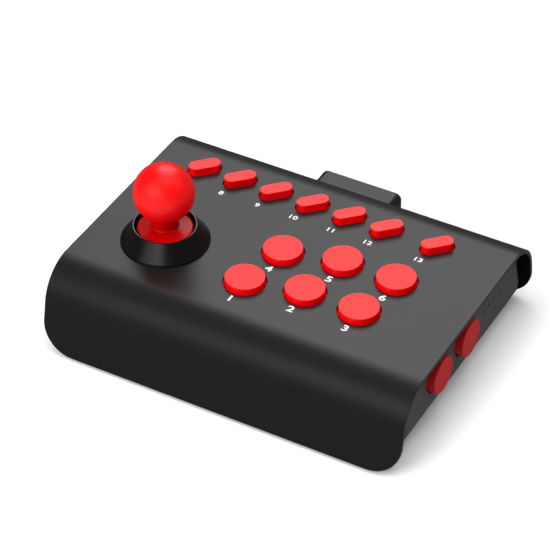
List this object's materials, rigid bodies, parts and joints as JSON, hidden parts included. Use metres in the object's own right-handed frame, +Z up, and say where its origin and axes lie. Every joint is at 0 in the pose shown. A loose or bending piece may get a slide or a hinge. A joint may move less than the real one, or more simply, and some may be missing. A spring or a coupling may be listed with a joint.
{
  "type": "arcade fight stick",
  "caption": "Table-top arcade controller: bent shell over a set-back housing, ball-top stick on a tilting gimbal, round and oblong press buttons, side buttons and a rear accessory socket.",
  "frame": {"origin": "centre of the object's box at floor level", "axes": "+X to the player's right along the width, +Y away from the player, +Z up"},
  "size_m": [0.22, 0.1728, 0.1007],
  "materials": {
    "shell": "satin",
    "housing": "satin",
    "socket_block": "satin",
    "bezel_black": "satin",
    "ball_red": "satin",
    "skirt_red": "satin",
    "button_red": "satin",
    "side_button_red": "satin",
    "steel": "bright",
    "screw_steel": "zinc plated",
    "nylon_white": "matt",
    "moulded_black": "matt",
    "circuit_board": "solder mask",
    "shield_can": "tinned",
    "silicone": "matt",
    "light_white": "gloss",
    "clear_plastic": "clear",
    "battery_wrap": "satin",
    "lead_red": "satin",
    "ribbon_grey": "satin",
    "foot_rubber": "matt"
  },
  "bodies": {
    "case": {"top_shell": "shell", "chassis_frame": "housing", "bottom_cover": "housing", "rear_socket": "socket_block", "socket_screws": "screw_steel", "joystick_bezel": "bezel_black", "joystick_base": "moulded_black", "joystick_screws": "screw_steel", "direction_switches": "moulded_black", "stick_board": "circuit_board", "restrictor_gate": "moulded_black", "gate_screws": "screw_steel", "main_board": "circuit_board", "round_keypad": "silicone", "oblong_keypad": "silicone", "board_screws": "screw_steel", "radio_module": "shield_can", "side_board": "circuit_board", "side_keypad": "silicone", "side_board_screws": "screw_steel", "status_lights": "light_white", "light_guide": "clear_plastic", "battery": "battery_wrap", "battery_leads": "lead_red", "charging_board": "circuit_board", "charging_socket": "steel", "stick_ribbon": "ribbon_grey", "side_ribbon": "ribbon_grey", "case_screws": "screw_steel", "rubber_feet": "foot_rubber", "centering_spring": "steel"},
    "gimbal": {"gimbal_ring": "nylon_white", "gimbal_pins": "steel"},
    "stick": {"ball_knob": "ball_red", "dust_skirt": "skirt_red", "stick_shaft": "steel", "pivot_hub": "nylon_white", "shaft_pins": "steel", "stick_actuator": "nylon_white", "shaft_clip": "steel"},
    "round_cap_1": {"round_button_1": "button_red"},
    "round_cap_2": {"round_button_2": "button_red"},
    "round_cap_3": {"round_button_3": "button_red"},
    "round_cap_4": {"round_button_4": "button_red"},
    "round_cap_5": {"round_button_5": "button_red"},
    "round_cap_6": {"round_button_6": "button_red"},
    "oblong_cap_1": {"oblong_button_1": "button_red"},
    "oblong_cap_2": {"oblong_button_2": "button_red"},
    "oblong_cap_3": {"oblong_button_3": "button_red"},
    "oblong_cap_4": {"oblong_button_4": "button_red"},
    "oblong_cap_5": {"oblong_button_5": "button_red"},
    "oblong_cap_6": {"oblong_button_6": "button_red"},
    "oblong_cap_7": {"oblong_button_7": "button_red"},
    "side_cap_front": {"side_button_front": "side_button_red"},
    "side_cap_rear": {"side_button_rear": "side_button_red"}
  },
  "joints": [
    {"name": "stick_up_down", "type": "hinge", "parent": "case", "child": "gimbal", "pos_m": [-0.0667, -0.0229, 0.039], "axis": [1, 0, 0], "range_deg": [-9, 9], "stiffness_Nm_per_rad": 0.4, "deforming": ["centering_spring"]},
    {"name": "stick_left_right", "type": "hinge", "parent": "gimbal", "child": "stick", "pos_m": [-0.0667, -0.0229, 0.039], "axis": [0, 1, 0], "range_deg": [-9, 9], "stiffness_Nm_per_rad": 0.4, "deforming": ["centering_spring"]},
    {"name": "press_round_1", "type": "slide", "parent": "case", "child": "round_cap_1", "axis": [0, 0, 1], "range_m": [-0.0025, 0], "stiffness_N_per_m": 260, "springref_m": 0.0012, "deforming": ["round_keypad"]},
    {"name": "press_round_2", "type": "slide", "parent": "case", "child": "round_cap_2", "axis": [0, 0, 1], "range_m": [-0.0025, 0], "stiffness_N_per_m": 260, "springref_m": 0.0012, "deforming": ["round_keypad"]},
    {"name": "press_round_3", "type": "slide", "parent": "case", "child": "round_cap_3", "axis": [0, 0, 1], "range_m": [-0.0025, 0], "stiffness_N_per_m": 260, "springref_m": 0.0012, "deforming": ["round_keypad"]},
    {"name": "press_round_4", "type": "slide", "parent": "case", "child": "round_cap_4", "axis": [0, 0, 1], "range_m": [-0.0025, 0], "stiffness_N_per_m": 260, "springref_m": 0.0012, "deforming": ["round_keypad"]},
    {"name": "press_round_5", "type": "slide", "parent": "case", "child": "round_cap_5", "axis": [0, 0, 1], "range_m": [-0.0025, 0], "stiffness_N_per_m": 260, "springref_m": 0.0012, "deforming": ["round_keypad"]},
    {"name": "press_round_6", "type": "slide", "parent": "case", "child": "round_cap_6", "axis": [0, 0, 1], "range_m": [-0.0025, 0], "stiffness_N_per_m": 260, "springref_m": 0.0012, "deforming": ["round_keypad"]},
    {"name": "press_oblong_1", "type": "slide", "parent": "case", "child": "oblong_cap_1", "axis": [0, 0, 1], "range_m": [-0.0015, 0], "stiffness_N_per_m": 300, "springref_m": 0.001, "deforming": ["oblong_keypad"]},
    {"name": "press_oblong_2", "type": "slide", "parent": "case", "child": "oblong_cap_2", "axis": [0, 0, 1], "range_m": [-0.0015, 0], "stiffness_N_per_m": 300, "springref_m": 0.001, "deforming": ["oblong_keypad"]},
    {"name": "press_oblong_3", "type": "slide", "parent": "case", "child": "oblong_cap_3", "axis": [0, 0, 1], "range_m": [-0.0015, 0], "stiffness_N_per_m": 300, "springref_m": 0.001, "deforming": ["oblong_keypad"]},
    {"name": "press_oblong_4", "type": "slide", "parent": "case", "child": "oblong_cap_4", "axis": [0, 0, 1], "range_m": [-0.0015, 0], "stiffness_N_per_m": 300, "springref_m": 0.001, "deforming": ["oblong_keypad"]},
    {"name": "press_oblong_5", "type": "slide", "parent": "case", "child": "oblong_cap_5", "axis": [0, 0, 1], "range_m": [-0.0015, 0], "stiffness_N_per_m": 300, "springref_m": 0.001, "deforming": ["oblong_keypad"]},
    {"name": "press_oblong_6", "type": "slide", "parent": "case", "child": "oblong_cap_6", "axis": [0, 0, 1], "range_m": [-0.0015, 0], "stiffness_N_per_m": 300, "springref_m": 0.001, "deforming": ["oblong_keypad"]},
    {"name": "press_oblong_7", "type": "slide", "parent": "case", "child": "oblong_cap_7", "axis": [0, 0, 1], "range_m": [-0.0015, 0], "stiffness_N_per_m": 300, "springref_m": 0.001, "deforming": ["oblong_keypad"]},
    {"name": "press_side_front", "type": "slide", "parent": "case", "child": "side_cap_front", "axis": [1, 0, 0], "range_m": [-0.002, 0], "stiffness_N_per_m": 260, "springref_m": 0.001, "deforming": ["side_keypad"]},
    {"name": "press_side_rear", "type": "slide", "parent": "case", "child": "side_cap_rear", "axis": [1, 0, 0], "range_m": [-0.002, 0], "stiffness_N_per_m": 260, "springref_m": 0.001, "deforming": ["side_keypad"]}
  ]
}
